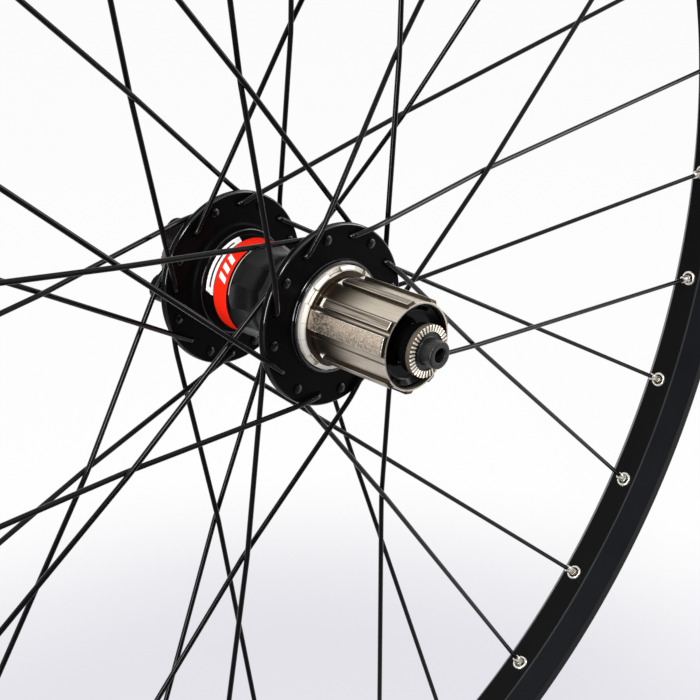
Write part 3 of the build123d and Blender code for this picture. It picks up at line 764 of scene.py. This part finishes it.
# Serrated rings
# Hard steel washers with radial teeth that bite into the frame, nickel plated.
# Each is pressed on its cap's nose, against the collar.
ring_in_r, ring_r, locknut, tooth_count, tooth_depth = 7.02, 9.45, 67.5, 36, 0.6
# Each point of a tooth: its share of the pitch, and of the depth that it is sunk.
tooth_shape = [(-0.5, 1.0), (-0.38, 0.95), (-0.12, 0.0), (0.12, 0.0), (0.38, 0.95)]

# Nickel plate on sharp teeth: bright crests, and grooves that are darker and browner.
ring_nickel, tree, shader = bare_finish("nickel_plated_steel_serrated", Metallic=0.3)
station, _, _ = round_the_axle(tree)
depth = add(tree, "Math", {0: station}, operation="ABSOLUTE").outputs[0]
crest = {"Value": depth, "From Min": locknut - 0.5, "From Max": locknut - 0.12}
crest = add(tree, "MapRange", crest).outputs["Result"]
tree.links.new(tinted(tree, crest, "#62584b", "#fbf4e4"), shader.inputs["Base Color"])
tree.links.new(between(tree, grain(tree, 0.4), 0.30, 0.42), shader.inputs["Roughness"])
relief(tree, shader, grain(tree, 0.4), 0.02, 0.3)

for label, sign in (("drive", -1), ("left", 1)):
    made = bmesh.new()
    columns = []
    for i in range(tooth_count):
        for share, sunk in tooth_shape:
            a = 360 / tooth_count * (i + 0.5 + share)
            top = locknut - tooth_depth * sunk
            column = [(ring_in_r, ring_back), (ring_in_r, top - 0.1), (ring_in_r + 0.12, top)]
            column += [(ring_r - 0.2, top), (ring_r, top - 0.2)]
            column += [(ring_r, ring_back + 0.15), (ring_r - 0.15, ring_back)]
            columns.append([made.verts.new(polar(r, a, sign * y) * mm) for r, y in column])
    for i in range(len(columns)):
        here, there = columns[i - 1], columns[i]
        for j in range(len(here)):
            made.faces.new((here[j - 1], here[j], there[j], there[j - 1])[::-sign])
    teeth = piece_of(f"serrated_washer_{label}", made, ring_nickel, 25)
    place_piece(teeth, "serrated_steel", "axle", f"serrated_ring_{label}")

# Freehub body
# A steel drum with milled splines that carries the sprockets, satin nickel plated.
# Its base ring is notched at each narrow spline, and the mouth is threaded for the lockring.
root_r, crest_r, base_r, base_start, base_end, drum_end = 15.9, 17.25, 19.4, -21.9, -25.2, -61.7
mouth_r, mouth_floor, freehub_seat_r, freehub_seat_end = 14.8, -56.5, 12.02, -17.5
carrier_r, carrier_end, thread_turns, thread_depth = 15.6, -9.5, 4, 0.32
notch_half, notch_wall, notch_floor_r, relief_end, runout_end = 9.5, -23.6, 17.5, -27.2, -29.8
first_spline, spline_pitch, spline_half = 139.5, 40, 6.0
spline_angles = [first_spline + spline_pitch * i for i in range(9) if i != 1]  # the wide one fills a place
wide_angle, wide_half = 164.5, 12.25
land_half = wide_half - 0.15
flank_steps = [(-0.9, 0.0), (-0.3, 0.1), (0.15, 0.82), (0.6, 0.95), (1.3, 1.0)]  # degrees in, share of height
pawl_count, pocket_ends = 3, (-16.9, -10.5)
pocket = [(-1.6, 13.9), (-1.6, 17.5), (7.4, 17.5), (7.4, 12.3), (0.0, 12.3)]
mm_per_degree, line_stretch, lines_per_mm, grit_size = 0.3, 0.02, 1.8, 0.6
fade_start, fade_end = -50.0, -28.0

# Satin nickel on milled steel: warm silver, fine lines along the cuts, grain on the wide land.
# The flanks are painted darker and browner as shade and reflection, and the base ring whiter as a painted
# highlight.
freehub_nickel, tree, shader = bare_finish("satin_nickel_plated_steel", Metallic=1.0)
station, radius, angle = round_the_axle(tree)
along = add(tree, "CombineXYZ", {"X": angle, "Y": station}).outputs[0]
stretch = (mm_per_degree, line_stretch, 0)
along = add(tree, "VectorMath", {0: along, 1: stretch}, operation="MULTIPLY").outputs[0]
# The lines and the grit are drawn coarser than they are, to show in a picture.
cuts = add(tree, "TexNoise", {"Vector": along, "Scale": lines_per_mm, "Detail": 4}).outputs["Fac"]
lines = between(tree, cuts, -0.7, 1.7)
grit = between(tree, grain(tree, grit_size, 3), 0.0, 1.0)
# Each mask picks out one kind of face by its station, its radius and how far it is from a spline.
away = add(tree, "Math", {0: angle, 1: first_spline}, operation="SUBTRACT").outputs[0]
away = add(tree, "Math", {0: away, 1: spline_pitch / 2}, operation="PINGPONG").outputs[0]
wide_away = add(tree, "Math", {0: angle, 1: wide_angle}, operation="SUBTRACT").outputs[0]
wide_away = add(tree, "Math", {0: wide_away}, operation="ABSOLUTE").outputs[0]
# Valleys darken towards the base ring: painted shade and painted reflection of the black flange.
toward_flange = {"Value": station, "From Min": fade_start, "From Max": fade_end}
toward_flange = add(tree, "MapRange", toward_flange, interpolation_type="SMOOTHSTEP").outputs["Result"]
valley_shade = inside(tree, (radius, root_r - 0.5, root_r + 0.04), (station, drum_end, base_end))
valley_shade = add(tree, "Math", {0: valley_shade, 1: toward_flange}, operation="MULTIPLY").outputs[0]
on_ring = (station, base_end - 0.05, base_start)
on_splines = (station, drum_end + 0.6, runout_end)
at_root = (radius, root_r - 0.1, root_r + 0.04)
on_land = (angle, wide_angle - land_half, wide_angle + land_half)
land = inside(tree, on_land, (station, drum_end + 1.2, base_end - 1))
ring = inside(tree, on_ring)
runout = inside(tree, (station, runout_end, relief_end), (radius, root_r + 0.1, crest_r - 0.03))
crest = inside(tree, on_splines, (radius, crest_r - 0.03, crest_r + 1))
edge = inside(tree, on_splines, (radius, crest_r - 0.07, crest_r - 0.012))
flank_shade = inside(tree, (radius, root_r + 0.04, crest_r - 0.04), (station, drum_end, runout_end))
corner = inside(tree, at_root, (away, spline_half, spline_half + 2.6))
wide_corner_shade = inside(tree, at_root, (wide_away, wide_half - 0.25, wide_half + 2.35))
relief_groove_shade = inside(tree, (station, relief_end, base_end), (radius, root_r - 1, root_r + 0.2))
ring_face_shade = inside(tree, (station, base_end - 0.14, base_end + 0.12), (radius, root_r, base_r - 1.6))
notch_side = (away, notch_half - 0.12, notch_half + 0.12)
notch_shade = inside(tree, on_ring, notch_side, (radius, notch_floor_r + 0.02, base_r - 0.02))
at_wall = (station, notch_wall - 0.05, notch_wall + 0.02)
notch_foot_shade = inside(tree, at_wall, (radius, notch_floor_r, notch_floor_r + 0.3))
lip_highlight = inside(tree, (station, drum_end, drum_end + 0.3))
mouth_shade = inside(tree, (station, drum_end - 0.3, mouth_floor + 1), (radius, mouth_r - 0.3, mouth_r + 0.5))
shade = tinted(tree, cuts, "#c9bba8", "#f0e4d3")
for mask, first, second, pattern in (
    (crest, "#6f6455", "#cdbfad", lines),
    (valley_shade, "#42382b", "#5a4e3f", cuts),
    # The relief groove before the base ring is darker: painted shadow.
    (relief_groove_shade, "#4a3f32", "#5e5242", cuts),
    (land, "#b5a490", "#f4e2cf", grit),
    # The base ring is whiter than the drum: a painted highlight.
    (ring, "#f0eae0", "#fffbf3", cuts),
    # The ring's outboard face is darkened: painted shade.
    (ring_face_shade, "#352c21", "#463b2e", cuts),
    # Notch walls and the feet of the notches are darkened: painted shade.
    (notch_shade, "#5d5243", "#7a6e5e", cuts),
    (notch_foot_shade, "#4d4335", "#5d5243", cuts),
    # The drum's outer end is near white: a painted highlight.
    (lip_highlight, "#f0ebe2", "#fffcf6", cuts),
    # The mouth's bevel and threaded wall are darkened: painted shade and painted reflection of the black
    # dish.
    (mouth_shade, "#2b2721", "#3d382f", cuts),
    # Root corners beside the narrow and wide splines are darkened: painted shade.
    (corner, "#6b5f50", "#85796a", cuts),
    (wide_corner_shade, "#6b5f50", "#85796a", cuts),
    # Spline flanks darker and browner: painted shade and reflection.
    (flank_shade, "#3d352a", "#5b5040", cuts),
    # Crest edges are near white: a painted highlight.
    (edge, "#fbf6ec", "#fffdf8", cuts),
    # The spline run-outs are near white: a painted highlight.
    (runout, "#f4efe5", "#fffdf8", cuts),
):
    shade = tinted(tree, mask, shade, tinted(tree, pattern, first, second))
tree.links.new(shade, shader.inputs["Base Color"])
satin = between(tree, cuts, 0.3, 0.4)
layers = {"Factor": land, 2: satin, 3: between(tree, grit, 0.28, 0.46)}
layers = {"Factor": ring, 2: add(tree, "Mix", layers).outputs[0], 3: between(tree, cuts, 0.38, 0.5)}
tree.links.new(add(tree, "Mix", layers).outputs[0], shader.inputs["Roughness"])
# The run-outs, and the base ring by half, are made matt so that their painted white reads as a bright facet.
half_matt = add(tree, "Math", {0: ring, 1: 0.5}, operation="MULTIPLY").outputs[0]
matt = add(tree, "Math", {0: runout, 1: half_matt}, operation="MAXIMUM").outputs[0]
tree.links.new(between(tree, matt, 1.0, 0.2), shader.inputs["Metallic"])
faint_cuts = add(tree, "Math", {0: cuts, 1: 0.15}, operation="MULTIPLY").outputs[0]
layers = {"Factor": land, 2: faint_cuts, 3: grit}
relief(tree, shader, add(tree, "Mix", layers).outputs[0], 0.05, 0.5)


def gap_to(angle, centre):
    # The shorter way from one angle to another, in degrees.
    return (angle - centre + 180) % 360 - 180


def drum_angles():
    # Columns at each spline flank and notch end, with plain steps between them.
    angles = {4.0 * i for i in range(90)}
    for centre, half in [(c, spline_half) for c in spline_angles] + [(wide_angle, wide_half)]:
        angles = {a for a in angles if abs(abs(gap_to(a, centre)) - half) > 1.5}
        for offset, _ in flank_steps:
            angles |= {(centre - half + offset) % 360, (centre + half - offset) % 360}
    for centre in spline_angles:
        for edge in (notch_half - 0.1, notch_half + 0.1):
            angles |= {(centre - edge) % 360, (centre + edge) % 360}
    return sorted(angles)


def spline_share(angle, centre, half):
    # How far a point has climbed a spline's flank, from 0 at the root to 1 at the crest.
    reach = half - abs(gap_to(angle, centre))
    if reach <= flank_steps[0][0]:
        return 0.0
    for (a, low), (b, high) in zip(flank_steps, flank_steps[1:]):
        if reach <= b:
            return low + (high - low) * (reach - a) / (b - a)
    return 1.0


def drum_column(angle):
    # The drum's section at one angle, from the base ring's back round to the carrier.
    wide = spline_share(angle, wide_angle, wide_half)
    narrow = max(spline_share(angle, c, spline_half) for c in spline_angles)
    notched = min(abs(gap_to(angle, c)) for c in spline_angles) < notch_half
    height = crest_r - root_r
    full = root_r + height * max(wide, narrow)
    start = root_r + height * wide
    side = notch_floor_r if notched else base_r
    column = [
        (carrier_r, base_start),
        (base_r - 0.3, base_start),
        (base_r, base_start - 0.3),
        (base_r, notch_wall + 0.15),
        (base_r - (0.15 if notched else 0), notch_wall),
        (side, notch_wall - 0.02),
        (side, base_end + 1.0),
        (side - (0 if notched else 0.12), base_end + 0.88),
        (side - (0 if notched else 0.9), base_end + 0.1),
        (side - (0.1 if notched else 1.0), base_end),
        (max(start, root_r) + 0.1, base_end),
        (start, base_end - 0.12),
        (start, relief_end),
        (full, runout_end),
        (full, drum_end + 0.7),
        (full - 0.06 * (full - root_r), drum_end + 0.58),
        (root_r + 0.03, drum_end + 0.06),
        (root_r - 0.12, drum_end),
        (mouth_r + 0.3, drum_end),
        (mouth_r, drum_end + 0.3),
    ]
    # The lockring's thread is drawn as plain grooves, a millimetre apart.
    for i in range(thread_turns):
        column += [(mouth_r + thread_depth, drum_end + 0.8 + i), (mouth_r, drum_end + 1.3 + i)]
    column += [(mouth_r, mouth_floor), (freehub_seat_r, mouth_floor), (freehub_seat_r, freehub_seat_end)]
    return column + [(through_r, freehub_seat_end), (through_r, carrier_end), (carrier_r, carrier_end)]


made = bmesh.new()
columns = [[made.verts.new(polar(r, a, y) * mm) for r, y in drum_column(a)] for a in drum_angles()]
for i in range(len(columns)):
    here, there = columns[i - 1], columns[i]
    for j in range(len(here)):
        made.faces.new((here[j], here[j - 1], there[j - 1], there[j]))
drum = piece_of("freehub_drum", made, freehub_nickel, 28)
pockets = bmesh.new()
for i in range(pawl_count):
    turned_by = Matrix.Rotation(math.radians(-360 / pawl_count * i), 3, "Y")
    prism(pockets, [[turned_by @ Vector((x, y, z)) for x, z in pocket[::-1]] for y in pocket_ends])
carve(drum, pockets, 28)
even_shading(drum)
place_piece(drum, "freehub_nickel", "freehub", "freehub_body")

# Dust cover
# A black dish, pressed from sheet and lacquered.
# It is pushed into the freehub's mouth, over the outer bearing.
cover_in_r, cover_r, cover_back, cover_floor, cover_rim = 7.3, 14.78, -56.8, -58.0, -60.0
cover_outline = [
    (cover_in_r, cover_back, 0.1),
    (cover_r, cover_back, 0.3),
    (cover_r, cover_rim, 0.25),
    (cover_r - 0.6, cover_rim, 0.25),
    (cover_r - 2.6, cover_floor, 1.8),
    (cover_in_r, cover_floor, 0.3),
]

# Black stoving lacquer: very deep and smooth, with sharp reflections.
cover_black, tree, shader = bare_finish("stoved_black_lacquer", Metallic=0.0, Specular_IOR_Level=0.1)
tree.links.new(tinted(tree, grain(tree, 8), "#040406", "#08080b"), shader.inputs["Base Color"])
tree.links.new(between(tree, grain(tree, 2), 0.08, 0.16), shader.inputs["Roughness"])
relief(tree, shader, grain(tree, 1.5), 0.01, 0.15)

made = bmesh.new()
lathe(made, rounded(cover_outline, 6), 128)
cover = piece_of("mouth_dish", made, cover_black)
even_shading(cover)
place_piece(cover, "cover_black", "freehub", "freehub_dust_cover")

# Studio
# A pale floor with a faint grey pool under the wheel, a painted shadow, in a white room lit by three soft
# boxes.
# On the near side, floor and room are dark to all but the camera, so that metal has something to mirror.
shadow_pool_start, shadow_pool_end, floor_drop = 0.2, 0.42, 0.3


def white_share(tree, far_side):
    # 1 where the camera looks or where metal mirrors the far side of the room, else 0.
    paths = add(tree, "LightPath").outputs
    mirrored = {0: paths["Is Glossy Ray"], 1: paths["Is Transmission Ray"]}
    mirrored = add(tree, "Math", mirrored, operation="ADD").outputs[0]
    seen = {0: mirrored, 1: far_side, 2: paths["Is Camera Ray"]}
    return add(tree, "Math", seen, operation="MULTIPLY_ADD", use_clamp=True).outputs[0]


# Matt white paint: no gloss, and as white as the room but for a painted shadow, a grey pool under the wheel.
floor_white, tree, shader = bare_finish("studio_floor_white", Roughness=0.9)
place = add(tree, "SeparateXYZ", {0: add(tree, "TexCoord").outputs["Object"]}).outputs
ahead = add(tree, "Math", {0: place["X"], 1: place["Y"]}, operation="ADD").outputs[0]
front = {"Value": ahead, "From Min": -0.25, "From Max": 0.2}
front = add(tree, "MapRange", front, interpolation_type="SMOOTHSTEP").outputs["Result"]
tree.links.new(tinted(tree, front, "#68696d", "#f4f4f6"), shader.inputs["Base Color"])
# Grey near the wheel and white further out: a painted shadow.
away = add(tree, "TexCoord").outputs["Object"]
away = add(tree, "VectorMath", {0: away}, operation="LENGTH").outputs["Value"]
away = {"Value": away, "From Min": shadow_pool_start, "From Max": shadow_pool_end}
away = add(tree, "MapRange", away, interpolation_type="SMOOTHSTEP").outputs["Result"]
glow = add(tree, "Emission", {"Color": tinted(tree, away, "#e3e2e9", "#ffffff"), "Strength": 1.0}).outputs[0]
share = {0: white_share(tree, front), 1: 0.92}
share = add(tree, "Math", share, operation="MULTIPLY").outputs[0]
mixed = add(tree, "MixShader", {0: share, 1: shader.outputs[0], 2: glow}).outputs[0]
tree.links.new(mixed, tree.nodes["Material Output"].inputs["Surface"])
made = bmesh.new()
bmesh.ops.create_grid(made, x_segments=8, y_segments=8, size=8.0)
floor = piece_of("studio_floor", made, floor_white)
floor.location.z = -(rim_r + floor_drop) * mm

world = bpy.data.worlds.new("studio_room")
bpy.context.scene.world = world
world.use_nodes = True
tree = world.node_tree
heading = add(tree, "SeparateXYZ", {0: add(tree, "TexCoord").outputs["Generated"]}).outputs
ahead = add(tree, "Math", {0: heading["X"], 1: heading["Y"]}, operation="ADD").outputs[0]
wall = add(tree, "MapRange", {"Value": ahead, "From Min": -0.9, "From Max": -0.2}).outputs["Result"]
room = tinted(tree, wall, "#38393b", "#dcdcde")
room = tinted(tree, white_share(tree, wall), room, "#fbfcfc")
tree.links.new(room, tree.nodes["Background"].inputs["Color"])


def soft_box(name, place, width, height, watts):
    # A rectangular lamp that faces the hub.
    lamp = bpy.data.lights.new(name, "AREA")
    lamp.shape, lamp.size, lamp.size_y, lamp.energy = "RECTANGLE", width, height, watts
    holder = bpy.data.objects.new(name, lamp)
    bpy.context.scene.collection.objects.link(holder)
    holder.location = place
    holder.rotation_euler = (-Vector(place)).to_track_quat("-Z", "Y").to_euler()


soft_box("key_box", (-0.7, -0.9, 1.2), 0.5, 0.35, 14)
soft_box("left_box", (-1.3, -0.3, 0.3), 0.4, 0.8, 16)
soft_box("side_box", (1.2, -0.7, 0.5), 0.3, 0.8, 5)

# The camera stands as a fit to the spokes and their crossings put it.
right = Vector((0.71227, -0.70190, 0))
up = Vector((0.27358, 0.27762, 0.92091))
back = Vector((-0.64639, -0.65594, 0.38977))
lens = bpy.data.cameras.new("photo_camera")
lens.sensor_width, lens.lens, lens.clip_start = 36.0, 78.62, 0.01
camera = bpy.data.objects.new("photo_camera", lens)
bpy.context.scene.collection.objects.link(camera)
eye = Vector((-354.1, -388.5, 202.6)) * mm
camera.matrix_world = Matrix.Translation(eye) @ Matrix((right, up, back)).transposed().to_4x4()
bpy.context.scene.camera = camera
bpy.context.scene.view_settings.view_transform = "Standard"
